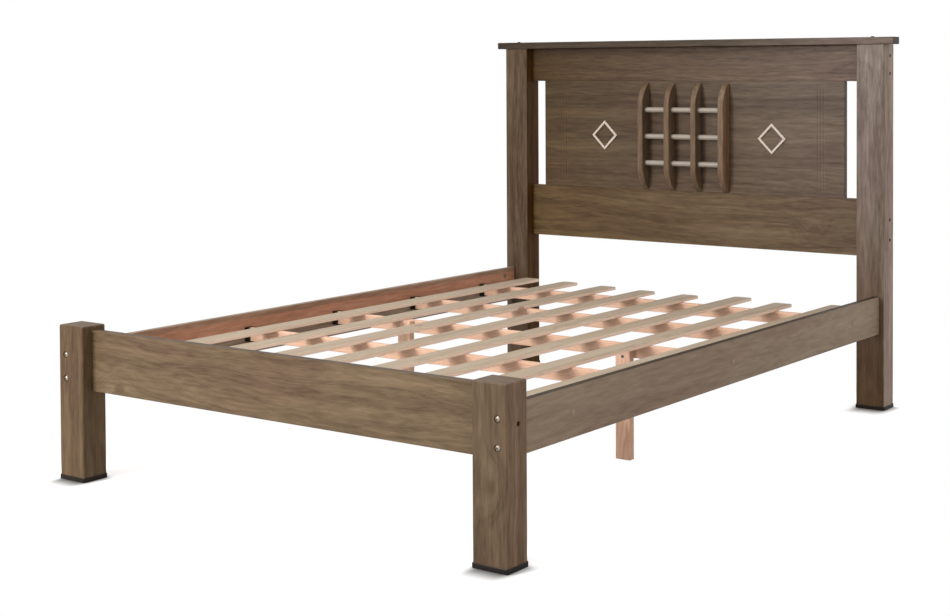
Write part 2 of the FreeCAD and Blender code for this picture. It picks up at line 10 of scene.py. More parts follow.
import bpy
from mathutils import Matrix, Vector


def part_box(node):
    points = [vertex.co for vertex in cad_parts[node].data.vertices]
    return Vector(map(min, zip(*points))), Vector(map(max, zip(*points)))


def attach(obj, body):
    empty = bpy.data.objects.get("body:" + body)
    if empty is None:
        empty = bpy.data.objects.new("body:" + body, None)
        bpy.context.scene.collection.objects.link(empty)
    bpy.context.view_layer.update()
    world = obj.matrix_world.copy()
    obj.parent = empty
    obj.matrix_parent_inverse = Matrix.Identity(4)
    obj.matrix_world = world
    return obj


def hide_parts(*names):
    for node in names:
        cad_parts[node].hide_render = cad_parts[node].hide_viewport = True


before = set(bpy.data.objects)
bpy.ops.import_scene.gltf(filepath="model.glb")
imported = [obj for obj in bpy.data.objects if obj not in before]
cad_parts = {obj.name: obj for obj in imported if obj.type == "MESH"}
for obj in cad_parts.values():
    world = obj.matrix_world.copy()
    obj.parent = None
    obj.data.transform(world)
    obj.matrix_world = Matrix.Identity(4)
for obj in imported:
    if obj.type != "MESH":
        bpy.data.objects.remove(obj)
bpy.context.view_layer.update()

import math
import random

import bmesh
import bpy
from mathutils import Vector, Matrix

scene = bpy.context.scene

# %% [markdown]
# ## Camera
# The photograph was taken from the foot end's right, at about a person's chest, with a long lens.
# Blender's helpers could only frame the bed roughly, so the numbers come from fitting the bed's
# corners: where the lens stood, how it was turned, its focal length and its optical centre in
# pixels. The picture is a crop of a larger one, which is what the lens shift stands for.

# %% Camera
photo_width = 950
photo_height = 616
focal_pixels = 1623.363
optical_centre_x = 528.860
optical_centre_y = 112.851
camera_place = Vector((2.727316, -3.784839, 1.067954))
camera_yaw = -0.614896
camera_pitch = -0.026644
camera_roll = -0.004231
sensor_mm = 36
farthest_seen = 200


def camera_axes(yaw, pitch, roll):
    """The camera's right, up and backward directions."""
    forward = Vector((math.sin(yaw) * math.cos(pitch), math.cos(yaw) * math.cos(pitch), math.sin(pitch)))
    level = Vector((math.cos(yaw), -math.sin(yaw), 0))
    above = level.cross(forward)
    right = level * math.cos(roll) + above * math.sin(roll)
    up = above * math.cos(roll) - level * math.sin(roll)
    return right, up, -forward


lens = bpy.data.cameras.new("camera")
lens.sensor_width = sensor_mm
lens.lens = focal_pixels * sensor_mm / photo_width
lens.shift_x = (photo_width / 2 - optical_centre_x) / photo_width
lens.shift_y = (optical_centre_y - photo_height / 2) / photo_width
lens.clip_end = farthest_seen
camera = bpy.data.objects.new("camera", lens)
scene.collection.objects.link(camera)
turn = Matrix(camera_axes(camera_yaw, camera_pitch, camera_roll)).transposed()
camera.matrix_world = Matrix.Translation(camera_place) @ turn.to_4x4()
scene.camera = camera
print("lens of", round(lens.lens, 2), "mm, shifted by", round(lens.shift_x, 4), round(lens.shift_y, 4))

# %% [markdown]
# ## Tools for meshes and nodes
# Two things come up at every step: a mesh that was built in code has to become an object, and a
# material has to be wired up node by node. Blender's own calls for both are long and much the same
# each time, so a few helpers stand in for them. Every material below is made of their small sums
# and fades.

# %% Helpers for meshes and nodes
def mesh_piece(name, shape):
    """Turns a finished bmesh into an object in the scene."""
    mesh = bpy.data.meshes.new(name)
    shape.to_mesh(mesh)
    shape.free()
    piece = bpy.data.objects.new(name, mesh)
    scene.collection.objects.link(piece)
    return piece


def add(tree, kind, feeds=None, **settings):
    """Adds a shader node. feeds fills its sockets with numbers, colours or other nodes' sockets."""
    made = tree.nodes.new("ShaderNode" + kind)
    for name, value in settings.items():
        setattr(made, name, value)
    for socket, value in (feeds or {}).items():
        if isinstance(value, bpy.types.NodeSocket):
            tree.links.new(value, made.inputs[socket])
        else:
            made.inputs[socket].default_value = value
    return made


def number(tree, operation, *values, clamp=False):
    """One step of arithmetic on numbers."""
    return add(tree, "Math", dict(enumerate(values)), operation=operation, use_clamp=clamp).outputs[0]


def smooth_step(tree, value, low, high, result_low=0.0, result_high=1.0):
    """A soft fade from one result to the other, while the value goes from low to high."""
    feeds = {"Value": value, "From Min": low, "From Max": high}
    feeds.update({"To Min": result_low, "To Max": result_high})
    return add(tree, "MapRange", feeds, interpolation_type="SMOOTHSTEP").outputs["Result"]


def blank_material(name):
    """A new material whose tree holds only its output."""
    material = bpy.data.materials.new(name)
    material.use_nodes = True
    tree = material.node_tree
    tree.nodes.clear()
    return material, tree, add(tree, "OutputMaterial")


print("helpers for meshes and nodes are ready")

# %% [markdown]
# ## Floor paint
# In the photograph the floor was retouched to pure white, and only a small soft shadow was left round
# each shoe. A floor that is simply lit would show grey away from the lamps. So the paint is a pure
# glow that turns into real paint, which takes real shadows, only near the shoes. Right beside them it
# carries a painted contact shadow, a dark glow that copies the retouched shadows. Both masks fade with
# the distance from the shoes' boxes, because a painted picture would have to be placed again whenever
# the bed's size changes.

# %% Floor paint
shadow_reach = 0.22
contact_reaches = dict(left=0.025, right=0.04, front=0.10, back=0.02)
painted_contact_shadow = (0.07, 0.06, 0.05, 1)
under_shoe = -0.02
white = (1, 1, 1, 1)


def round_shoes(tree, place, left, right, front, back):
    """1 under the shoes, falling to 0 at a reach in metres to each one's left, right, front and back."""
    spot = add(tree, "SeparateXYZ", {0: place}).outputs
    nearest = None
    for end in ("foot", "head"):
        for side in ("left", "right"):
            low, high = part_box(f"post_shoe_{end}_{side}")
            here = 1.0
            for axis, edge, sign, reach in (
                ("X", low[0], -1, left),
                ("X", high[0], 1, right),
                ("Y", low[1], -1, front),
                ("Y", high[1], 1, back),
            ):
                beyond = number(tree, "MULTIPLY_ADD", spot[axis], sign, -sign * edge)
                here = number(tree, "MULTIPLY", smooth_step(tree, beyond, reach, under_shoe), here)
            nearest = here if nearest is None else number(tree, "MAXIMUM", nearest, here)
    return nearest


def floor_paint(name, whiteness, glow, retouched=False):
    """Matt paint with the faintest unevenness. Retouched, it is pure white away from the shoes."""
    material, tree, output = blank_material(name)
    place = add(tree, "TexCoord").outputs["Object"]
    mottle = add(tree, "TexNoise", {"Vector": place, "Scale": 2.5, "Detail": 3.0})
    shade = add(tree, "ValToRGB", {"Fac": mottle.outputs["Fac"]})
    for mark, level in zip(shade.color_ramp.elements, (whiteness - 0.01, whiteness)):
        mark.color = (level, level, level, 1)
    feeds = {"Base Color": shade.outputs["Color"], "Roughness": 0.9}
    feeds.update({"Emission Color": white, "Emission Strength": glow})
    paint = add(tree, "BsdfPrincipled", feeds).outputs["BSDF"]
    if retouched:
        pure_white = add(tree, "Emission", {"Color": white}).outputs[0]
        # Painted contact shadow: a dark glow right beside each shoe, standing in for shade.
        dark = add(tree, "Emission", {"Color": painted_contact_shadow}).outputs[0]
        shadows = round_shoes(tree, place, *[shadow_reach] * 4)
        paint = add(tree, "MixShader", {0: shadows, 1: pure_white, 2: paint}).outputs[0]
        contact = round_shoes(tree, place, **contact_reaches)
        paint = add(tree, "MixShader", {0: contact, 1: paint, 2: dark}).outputs[0]
    tree.links.new(paint, output.inputs["Surface"])
    return material


print("real shadows are kept within", shadow_reach, "m of the shoes")

# %% [markdown]
# ## Two floors
# A floor that is bright enough to look white throws too much light up under the bed, and a darker one
# would show in the picture. With one floor the two wishes can't both be met, so there are two, a
# millimetre apart. The camera sees the upper one, which light passes through. Light meets the lower,
# grey one, which the camera can't see.

# %% Two floors
floor_half = 60.0
floor_white = 0.9
floor_glow = 0.22
bounce_drop = 0.001
bounce_grey = 0.6


def floor_piece(name, height):
    """A wide flat grid at a height, which stays where it is when the bed's parts move."""
    shape = bmesh.new()
    bmesh.ops.create_grid(shape, x_segments=8, y_segments=8, size=floor_half)
    bmesh.ops.translate(shape, verts=shape.verts, vec=(0, 0, height))
    floor = mesh_piece(name, shape)
    return floor


studio_floor = floor_piece("studio_floor", 0.0)
studio_floor.data.materials.append(floor_paint("floor_paint", floor_white, floor_glow, retouched=True))
for ray in ("diffuse", "glossy", "shadow"):
    setattr(studio_floor, "visible_" + ray, False)

bounce_floor = floor_piece("bounce_floor", -bounce_drop)
bounce_floor.data.materials.append(floor_paint("bounce_paint", bounce_grey, 0.0))
bounce_floor.visible_camera = False
print("floors:", 2 * floor_half, "m wide,", bounce_drop, "m apart")

# %% [markdown]
# ## Backdrop
# Behind the bed the photograph is plain white as well. The world's own colour could give that, but
# the world has another task here, to light the bed unevenly. A white wall all round that only the
# camera sees keeps the two apart: it glows, but lights nothing and shows in no reflection.

# %% Backdrop
backdrop_height = 40.0
backdrop_radius = floor_half * 0.9
below_floor = 1.0


def backdrop_paint():
    """A glowing white, because the backdrop is only there to be seen."""
    material, tree, output = blank_material("backdrop_paint")
    glow = add(tree, "Emission", {"Color": white, "Strength": 1.0})
    tree.links.new(glow.outputs[0], output.inputs["Surface"])
    return material


def backdrop_piece():
    """A white wall all round, closed above, that only the camera sees."""
    cylinder = dict(segments=64, radius1=backdrop_radius, radius2=backdrop_radius, depth=backdrop_height)
    shape = bmesh.new()
    bmesh.ops.create_cone(shape, cap_ends=True, **cylinder)
    bmesh.ops.translate(shape, verts=shape.verts, vec=(0, 0, backdrop_height / 2 - below_floor))
    backdrop = mesh_piece("backdrop", shape)
    backdrop.data.materials.append(backdrop_paint())
    for ray in ("diffuse", "glossy", "transmission", "shadow"):
        setattr(backdrop, "visible_" + ray, False)
    return backdrop


print("backdrop:", len(backdrop_piece().data.polygons), "faces")

# %% [markdown]
# ## Room
# A studio lights a piece of furniture with big bright surfaces more than with lamps. In the
# photograph the faces that look to the right are well lit, though the lamps stand to the left, so
# something large and bright stood there. Panels would do, but they would have to be placed and
# hidden. The world can play the room by itself: each direction gets the brightness of its wall, and
# above a certain angle that of the ceiling.

# %% Room
sky_light = 1.4
ceiling_from = 0.2
ceiling_full = 0.7
wall_lights = {
    ("Y", -1): 0.55,
    ("X", 1): 1.7,
    ("Y", 1): 0.75,
    ("X", -1): 0.25,
}

room = bpy.data.worlds.new("white_room")
room.use_nodes = True
room_tree = room.node_tree
towards = add(room_tree, "SeparateXYZ", {0: add(room_tree, "TexCoord").outputs["Generated"]}).outputs
ceiling = smooth_step(room_tree, towards["Z"], ceiling_from, ceiling_full)
walls = 0.0
for (axis, sign), brightness in wall_lights.items():
    lobe = number(room_tree, "MULTIPLY", towards[axis], sign * brightness, clamp=True)
    walls = number(room_tree, "ADD", walls, lobe)
light = number(room_tree, "MULTIPLY", walls, number(room_tree, "SUBTRACT", 1.0, ceiling))
light = number(room_tree, "MULTIPLY_ADD", ceiling, sky_light, light)
background = room_tree.nodes["Background"].inputs
background["Color"].default_value = white
room_tree.links.new(light, background["Strength"])
scene.world = room
print("the room's world has", len(room_tree.nodes), "nodes")

# %% [markdown]
# ## Lamps
# Two soft boxes at the front left give the light its direction. The high one brightens tops and lets
# the slats and lattice bars throw soft shadows to the right. The low one shines in under the cap
# board, which would otherwise lay a wide dark band on the headboard. A bright point lamp would give
# hard edges that the photograph doesn't have. The Standard view keeps white as white, where
# Blender's usual view greys it.

# %% Lamps
lamps = {
    "high_lamp": dict(place=(-1.7, -3.9, 4.0), target=(0.0, -0.2, 0.4), width=1.1, height=0.9, watts=135),
    "low_lamp": dict(place=(-1.5, -4.6, 1.7), target=(0.0, 0.2, 0.7), width=1.8, height=1.0, watts=150),
}


def soft_lamp(name, place, target, width, height, watts):
    """A rectangular soft box that looks at a point."""
    light = bpy.data.lights.new(name, "AREA")
    light.shape = "RECTANGLE"
    light.size = width
    light.size_y = height
    light.energy = watts
    lamp = bpy.data.objects.new(name, light)
    lamp.location = place
    lamp.rotation_mode = "QUATERNION"
    lamp.rotation_quaternion = (Vector(target) - Vector(place)).to_track_quat("-Z", "Y")
    scene.collection.objects.link(lamp)


for name, way in lamps.items():
    soft_lamp(name, **way)
scene.view_settings.view_transform = "Standard"
scene.view_settings.look = "None"

# %% [markdown]
# ## Timber
# Wood could be painted on with a picture, but a board cut from a log shows the same rings on every
# face, and nodes can do just that: they work out the colour of each point from its place in the log.
# Two things carry most of the likeness. Noise that is drawn out along the grain gives streaks and
# fibres, and the same noise, used to push points sideways, bends the rings as growth does.

# %% Noise along the grain
def vector(tree, operation, *values):
    """One step of arithmetic on points."""
    return add(tree, "VectorMath", dict(enumerate(values)), operation=operation).outputs[0]


def drawn_noise(tree, place, along, across, detail=2.0, roughness=0.5):
    """Noise drawn out along the grain: along and across are its changes per metre."""
    feeds = {"Vector": vector(tree, "MULTIPLY", place, (along, across, across)), "Scale": 1.0}
    return add(tree, "TexNoise", {**feeds, "Detail": detail, "Roughness": roughness})


def sideways_push(tree, place, along, across, detail, reach):
    """A random push across the grain, of up to half the reach in metres."""
    noise = drawn_noise(tree, place, along, across, detail).outputs["Color"]
    centred = vector(tree, "SUBTRACT", noise, (0.5, 0.5, 0.5))
    return vector(tree, "MULTIPLY", centred, (0.0, reach, reach))


def ring_shades(tree, ring_count):
    """Each year's ring: grey at first, pale, then a dark line. Some years come out stronger."""
    ring = add(tree, "ValToRGB", {"Fac": number(tree, "FRACT", ring_count)})
    ring.color_ramp.interpolation = "B_SPLINE"
    for mark in ring.color_ramp.elements:
        mark.color = (0.55, 0.55, 0.55, 1)
    for spot, shade in ((0.14, 0.0), (0.55, 0.2), (0.88, 1.0)):
        ring.color_ramp.elements.new(spot).color = (shade, shade, shade, 1)
    luck = add(tree, "TexWhiteNoise", {"W": number(tree, "FLOOR", ring_count)}, noise_dimensions="1D")
    strength = number(tree, "MULTIPLY_ADD", luck.outputs["Value"], 0.7, 0.3)
    return number(tree, "MULTIPLY", ring.outputs["Color"], strength)


print("noise helpers: drawn_noise, sideways_push, ring_shades")

# %% [markdown]
# ## The log
# One node group stands for the whole log: rings round a heart line that runs along X, bent by slow
# noise and by knots, and finer streaks, flecks and fibres. Each material could hold these nodes by
# itself, but a group is built once and fed with the place of each board's heart. Wide panels are
# glued up from staves, so the group also jumps to another part of the log at every stave.

# %% The node group that stands for the log
TIMBER_GIVES = ["Rings", "Bands", "Streaks", "Flecks", "Fibres", "Knots", "Patches", "Stave"]
TIMBER_TAKES = [
    ("Place", "Vector", (0, 0, 0)),
    ("Shift", "Vector", (0, 0, 0)),
    ("Heart", "Vector", (0, 0, -0.1)),
    ("Ring Width", "Float", 0.004),
    ("Stave Start", "Float", 0.0),
    ("Stave Width", "Float", 10.0),
]
STAVE_JUMP = (1.37, 0.0, 0.0)
KNOTS_PER_METRE = (3.1, 5.2, 5.2)
KNOT_EDGES = (0.085, 0.045)
KNOT_SWIRL = 0.022
SWIRL_REACH = 0.34
BANDS_PER_METRE = 55.0


def group_sockets(tree):
    """Gives the group its sockets, and returns the inner ends of both sets."""
    for name, kind, value in TIMBER_TAKES:
        socket = tree.interface.new_socket(name, in_out="INPUT", socket_type="NodeSocket" + kind)
        socket.default_value = value
    for name in TIMBER_GIVES:
        tree.interface.new_socket(name, in_out="OUTPUT", socket_type="NodeSocketFloat")
    return tree.nodes.new("NodeGroupInput").outputs, tree.nodes.new("NodeGroupOutput").inputs


def timber_group():
    """Builds the log: what it is made of at a place, from 0 to 1 for each of TIMBER_GIVES."""
    tree = bpy.data.node_groups.new("timber", "ShaderNodeTree")
    taken, given = group_sockets(tree)

    across = add(tree, "SeparateXYZ", {0: taken["Place"]}).outputs
    stave = number(tree, "SUBTRACT", across["Z"], taken["Stave Start"])
    stave = number(tree, "FLOOR", number(tree, "DIVIDE", stave, taken["Stave Width"]))
    jump = vector(tree, "SCALE", STAVE_JUMP)
    tree.links.new(stave, jump.node.inputs["Scale"])
    shifted = vector(tree, "ADD", vector(tree, "ADD", taken["Place"], taken["Shift"]), jump)

    wander = sideways_push(tree, shifted, along=1.3, across=5.0, detail=1.5, reach=0.07)
    flutter = sideways_push(tree, shifted, along=6.0, across=40.0, detail=2.0, reach=0.009)
    cells = vector(tree, "MULTIPLY", shifted, KNOTS_PER_METRE)
    near_knot = add(tree, "TexVoronoi", {"Vector": cells, "Scale": 1.0}).outputs["Distance"]
    swirl = number(tree, "MULTIPLY", smooth_step(tree, near_knot, SWIRL_REACH, 0.0), KNOT_SWIRL)

    from_heart = vector(tree, "SUBTRACT", taken["Place"], taken["Heart"])
    from_heart = vector(tree, "ADD", vector(tree, "ADD", from_heart, wander), flutter)
    from_heart = vector(tree, "MULTIPLY", from_heart, (0.0, 1.0, 1.0))
    radius = add(tree, "VectorMath", {0: from_heart}, operation="LENGTH").outputs["Value"]
    radius = number(tree, "ADD", radius, swirl)
    ring_count = number(tree, "DIVIDE", radius, taken["Ring Width"])
    outwards = number(tree, "MULTIPLY", radius, BANDS_PER_METRE)
    band = add(tree, "TexNoise", {"W": outwards, "Scale": 1.0}, noise_dimensions="1D")
    bent = vector(tree, "ADD", shifted, wander)
    luck = add(tree, "TexWhiteNoise", {"W": number(tree, "ADD", stave, 0.37)}, noise_dimensions="1D")
    streaks = drawn_noise(tree, bent, along=1.7, across=42.0, detail=3.0, roughness=0.6)
    flecks = drawn_noise(tree, bent, along=15.0, across=120.0, detail=3.0, roughness=0.6)
    fibres = drawn_noise(tree, bent, along=24.0, across=560.0, detail=3.0, roughness=0.65)
    patches = drawn_noise(tree, shifted, along=2.2, across=7.0, detail=2.0)
    results = {
        "Rings": ring_shades(tree, ring_count),
        "Bands": smooth_step(tree, band.outputs["Fac"], 0.3, 0.7),
        "Streaks": streaks.outputs["Fac"],
        "Flecks": flecks.outputs["Fac"],
        "Fibres": fibres.outputs["Fac"],
        "Knots": smooth_step(tree, near_knot, *KNOT_EDGES),
        "Patches": patches.outputs["Fac"],
        "Stave": luck.outputs["Value"],
    }
    for name, result in results.items():
        tree.links.new(result, given[name])
    return tree


timber = timber_group()
print("the timber group has", len(timber.nodes), "nodes")

# %% [markdown]
# ## A board and its log
# Each piece of the bed was sawn from another part of a log, with the grain along the piece. So every
# board needs its own place in the group: its grain turned to X, a random shift along the log, and
# the heart line somewhere beside it. Turning the objects would do for the grain, but they have to
# stay as they came, so the material changes the order of X, Y and Z instead. The random numbers are
# seeded with the board's name, so they come out the same each time.

# %% A board's place in its log
GRAIN_ORDERS = {"x": "XYZ", "y": "YXZ", "z": "ZXY"}
SINGLE_STAVE = 10.0


def object_parts(tree):
    """The X, Y and Z of the point that is being shaded, in metres."""
    return add(tree, "SeparateXYZ", {0: add(tree, "TexCoord").outputs["Object"]}).outputs


def grain_place(tree, grain):
    """A point in metres, with its first number along the grain."""
    parts = object_parts(tree)
    feeds = {place: parts[axis] for place, axis in enumerate(GRAIN_ORDERS[grain])}
    return add(tree, "CombineXYZ", feeds).outputs[0]


def grain_point(grain, point):
    """The same change of order for a point that the script works out."""
    parts = dict(zip("XYZ", point))
    return Vector([parts[axis] for axis in GRAIN_ORDERS[grain]])


def log_of(tree, node_name, grain, heart_offset, ring_width, staves=1):
    """Feeds the timber group for one board. heart_offset is the heart's place from the board's middle."""
    low, high = (grain_point(grain, corner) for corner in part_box(node_name))
    luck = random.Random(node_name)
    log = add(tree, "Group", node_tree=timber)
    tree.links.new(grain_place(tree, grain), log.inputs["Place"])
    log.inputs["Shift"].default_value = [luck.uniform(3, 40) for _ in range(3)]
    log.inputs["Heart"].default_value = (low + high) / 2 + Vector((0, *heart_offset))
    log.inputs["Ring Width"].default_value = ring_width
    log.inputs["Stave Start"].default_value = low.z
    log.inputs["Stave Width"].default_value = (high.z - low.z) / staves if staves > 1 else SINGLE_STAVE
    return log.outputs


for grain in GRAIN_ORDERS:
    print("grain along", grain, "turns (1, 2, 3) into", tuple(grain_point(grain, (1, 2, 3))))

# %% [markdown]
# ## Colours and the last shader
# A wood's colour is mostly one value, light to dark, that a ramp turns into real colours, with tones
# multiplied over it. The ramps could be set by eye in the shader's own numbers, but colours read off
# the photograph are on the screen's scale, so a helper turns one into the other. Every material of
# the bed ends alike, in a bump, a gloss and one shader, so that end is written once.

# %% Colours and the last shader
def colour(red, green, blue):
    """A colour as the eye reads it off a screen, 0 to 255, turned to the shader's linear numbers."""
    parts = [c / 255 for c in (red, green, blue)]
    return tuple(c / 12.92 if c <= 0.04045 else ((c + 0.055) / 1.055) ** 2.4 for c in parts) + (1,)


def blend_colours(tree, amount, first, second, blend="MIX"):
    """The first colour, turned into the second, or blended with it, by an amount from 0 to 1."""
    feeds = {0: amount, 6: first, 7: second}
    return add(tree, "Mix", feeds, data_type="RGBA", blend_type=blend).outputs[2]


def tinted(tree, shade, tone, amount=1.0):
    """A colour multiplied by a tone, or by part of it."""
    return blend_colours(tree, amount, shade, (*tone, 1), "MULTIPLY")


def ramp(tree, value, *stops):
    """A colour ramp from (place, colour) stops."""
    made = add(tree, "ValToRGB", {"Fac": value})
    marks = made.color_ramp.elements
    for mark, (spot, shade) in zip(marks, (stops[0], stops[-1])):
        mark.position = spot
        mark.color = shade
    for spot, shade in stops[1:-1]:
        marks.new(spot).color = shade
    return made.outputs["Color"]


def weigh(tree, *pairs):
    """The sum of values, each times its weight."""
    total = number(tree, "MULTIPLY", *pairs[0])
    for value, weight in pairs[1:]:
        total = number(tree, "MULTIPLY_ADD", value, weight, total)
    return total


def knotted(tree, log, wood_colour, amount, knot_colour):
    """Wood with its knots darkened by an amount."""
    return blend_colours(tree, number(tree, "MULTIPLY", log["Knots"], amount), wood_colour, knot_colour)


def surface(tree, output, shade, gloss, relief, bumps, depth, fixed=None):
    """The shader that ends a material. depth is the relief's in metres, fixed holds plain numbers."""
    bump = add(tree, "Bump", {"Height": relief, "Strength": bumps, "Distance": depth})
    feeds = {"Base Color": shade, "Roughness": gloss, "Normal": bump.outputs[0], **(fixed or {})}
    shader = add(tree, "BsdfPrincipled", feeds)
    tree.links.new(shader.outputs["BSDF"], output.inputs["Surface"])


def finish_node(node_name, material):
    """Gives a CAD piece its finish in place of the plain one it was imported with."""
    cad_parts[node_name].material_slots[0].material = material


print("a walnut brown in linear numbers:", [round(v, 3) for v in colour(92, 74, 56)])

# %% [markdown]
# ## Sides, ends and grooves
# A board here isn't one colour all over: some of its sides carry painted light or painted shade,
# one end may be darker as painted shade, one end greyer as a painted sheen, and its grooves lighter
# as painted light. Its faces could be given materials of their own, but then each border would be a
# hard edge of the mesh. Masks that read the point's normal and its place in the board's box need no
# borders, and fade as softly as wanted.

# %% Masks for a board
GROOVE_LIP = 0.0003
GROOVE_INSIDE = 0.0012
BOARD_END_SHARES = (0.004, 0.008)


def facing(tree, side):
    """1 on faces that look to one side, such as +x, and 0 elsewhere."""
    axis = side[1].upper()
    normal = add(tree, "SeparateXYZ", {0: add(tree, "TexCoord").outputs["Normal"]}).outputs[axis]
    if side[0] == "-":
        normal = number(tree, "MULTIPLY", normal, -1.0)
    return smooth_step(tree, normal, 0.6, 0.8)


def along_board(tree, node_name, grain):
    """0 at the board's start and 1 at its end, along the grain."""
    low, high = (grain_point(grain, corner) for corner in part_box(node_name))
    spot = add(tree, "SeparateXYZ", {0: grain_place(tree, grain)}).outputs["X"]
    return add(tree, "MapRange", {"Value": spot, "From Min": low.x, "From Max": high.x}).outputs["Result"]


def in_grooves(tree, node_name, grain):
    """1 behind the board's front face, as in a groove, and 0 on it and on the board's ends."""
    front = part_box(node_name)[0][1]
    sunk = smooth_step(tree, object_parts(tree)["Y"], front + GROOVE_LIP, front + GROOVE_INSIDE)
    along = along_board(tree, node_name, grain)
    from_end = number(tree, "MINIMUM", along, number(tree, "SUBTRACT", 1.0, along))
    return number(tree, "MULTIPLY", sunk, smooth_step(tree, from_end, *BOARD_END_SHARES))


print("masks: facing, along_board, in_grooves")

# %% [markdown]
# ## Stain
# The posts, rails and headboard are pine under a walnut stain and a thin satin varnish. Stain soaks
# unevenly into pine: it leaves soft dark streaks along the grain, darker knots and slow changes
# between olive and purplish brown. One colour with noise over it would look printed, so the colour
# comes from the log: how deep the stain soaked in picks its shade from a ramp.
#
# A tone for each board stands partly for how the boards took the stain differently and partly for
# painted light and sheen. A shade for some of its sides is painted light or painted shade on that side.

# %% Stain colours
def soaking_depth(tree, log, figure):
    """How deep the stain went in, from the log. figure is the contrast round the usual depth."""
    usual_depth = 0.54
    depth = weigh(
        tree,
        (log["Streaks"], 0.28),
        (log["Rings"], 0.06),
        (log["Bands"], 0.08),
        (log["Patches"], 0.10),
        (log["Flecks"], 0.34),
        (log["Fibres"], 0.22),
    )
    return number(tree, "MULTIPLY_ADD", depth, figure, usual_depth * (1 - figure))


def stain_colour(tree, log, depth, staves):
    """Walnut stain: light to dark with its depth, purplish in patches, dark on knots."""
    stain = ramp(
        tree,
        depth,
        (0.36, colour(110, 91, 71)),
        (0.50, colour(92, 74, 56)),
        (0.62, colour(74, 57, 41)),
        (0.76, colour(54, 39, 27)),
    )
    purple = number(tree, "MULTIPLY", smooth_step(tree, log["Patches"], 0.42, 0.66), 0.5)
    stain = tinted(tree, stain, (0.95, 0.84, 0.90), purple)
    if staves > 1:
        lightness = number(tree, "MULTIPLY_ADD", log["Stave"], 0.14, 0.93)
        stain = vector(tree, "SCALE", stain)
        tree.links.new(lightness, stain.node.inputs["Scale"])
    return knotted(tree, log, stain, 0.6, colour(72, 52, 36))


def board_tone_and_painted_light(tree, stain, node_name, grain, tone, far_painted_sheen, painted_light_and_shade):
    """The board's tone, with a painted sheen along it, and painted light or shade on single sides."""
    tint = (*tone, 1)
    if far_painted_sheen:
        # The far tone is a painted sheen, lighter and greyer towards the board's far end.
        tint = blend_colours(tree, along_board(tree, node_name, grain), tint, (*far_painted_sheen, 1))
    stain = blend_colours(tree, 1.0, stain, tint, "MULTIPLY")
    # Painted light and painted shade on single sides, fading in along the board.
    for side, shade, none_at, full_at in painted_light_and_shade:
        fade = smooth_step(tree, along_board(tree, node_name, grain), none_at, full_at)
        stain = tinted(tree, stain, shade, number(tree, "MULTIPLY", facing(tree, side), fade))
    return stain


print("stain helpers: depth, colour and tone")

# %% [markdown]
# ## The finish of one board
# The sides that nobody sees in use were left without stain. On the left rail's inner side a bare
# reddish strip shows between the overspray along its top and its dark lower part, which is partly
# stain and partly painted shade for the shadow under the slats. The strip could be a face of its own
# with another material, but its edges fade. A mask along the height, frayed by the log's streaks,
# lets the raw wood through there instead, and makes it duller. One function puts the whole finish
# together, so that no two boards show the same log.

# %% The finish of one board
STAINED_RING_WIDTH = 0.0055
STAIN_ROUGHNESS = 0.28
VARNISH = {"Coat Weight": 0.02, "Coat Roughness": 0.25}
BARE_UNDER_OVERSPRAY = 0.35


def bare_strip(tree, node_name, log, side, start, end):
    """1 on the part of a side, in shares of the board's height, that was left without stain."""
    height = number(tree, "MULTIPLY_ADD", log["Streaks"], 0.14, along_board(tree, node_name, "z"))
    # Below the strip the stain stays: partly stain, partly painted shade under the slats.
    above_stain_and_painted_shade = smooth_step(tree, height, start + 0.03, start + 0.11)
    upper_edge = smooth_step(tree, height, end + 0.13, end + 0.05, BARE_UNDER_OVERSPRAY, 1.0)
    return number(tree, "MULTIPLY", facing(tree, side), number(tree, "MULTIPLY", above_stain_and_painted_shade, upper_edge))


def stained_board(
    node_name,
    grain,
    heart_offset,
    tone,
    far_painted_sheen=None,
    staves=1,
    bare=None,
    painted_light_and_shade=(),
    figure=1.0,
    grooves=None,
    shine=0.12,
):
    """The stained and varnished wood of one board.

    The tone at the far end is a painted sheen. bare is the side left without stain, and the part of
    its height that is bare; on the side rails the stained part below it is partly painted shade. Each
    side shade is painted light or painted shade: a side, what its tone is multiplied by, and the places
    along the board where that starts and is full. figure is the grain's contrast. grooves is what the
    tone is multiplied by in the cuts of the front, a painted light.
    """
    material, tree, output = blank_material("stained_" + node_name)
    log = log_of(tree, node_name, grain, heart_offset, STAINED_RING_WIDTH, staves)
    depth = soaking_depth(tree, log, figure)
    stain = stain_colour(tree, log, depth, staves)
    stain = board_tone_and_painted_light(tree, stain, node_name, grain, tone, far_painted_sheen, painted_light_and_shade)
    if grooves:
        # Painted light in the grooves, lifting the shade that falls into them.
        stain = tinted(tree, stain, grooves, in_grooves(tree, node_name, grain))
    pores = weigh(tree, (log["Fibres"], 0.14), (log["Flecks"], 0.14))
    gloss = number(tree, "ADD", pores, STAIN_ROUGHNESS)
    if bare:
        raw = ramp(
            tree,
            depth,
            (0.36, colour(180, 131, 104)),
            (0.50, colour(161, 113, 88)),
            (0.72, colour(122, 81, 58)),
        )
        on_bare = bare_strip(tree, node_name, log, *bare)
        stain = blend_colours(tree, on_bare, stain, raw)
        gloss = number(tree, "MULTIPLY_ADD", on_bare, 0.2, gloss)
    relief = weigh(tree, (log["Fibres"], 0.5), (log["Flecks"], 0.5))
    varnish = {"Specular IOR Level": shine, **VARNISH}
    surface(tree, output, stain, gloss, relief, bumps=0.35, depth=0.0005, fixed=varnish)
    return material


print("a stained board's rings are", STAINED_RING_WIDTH * 1000, "mm wide")

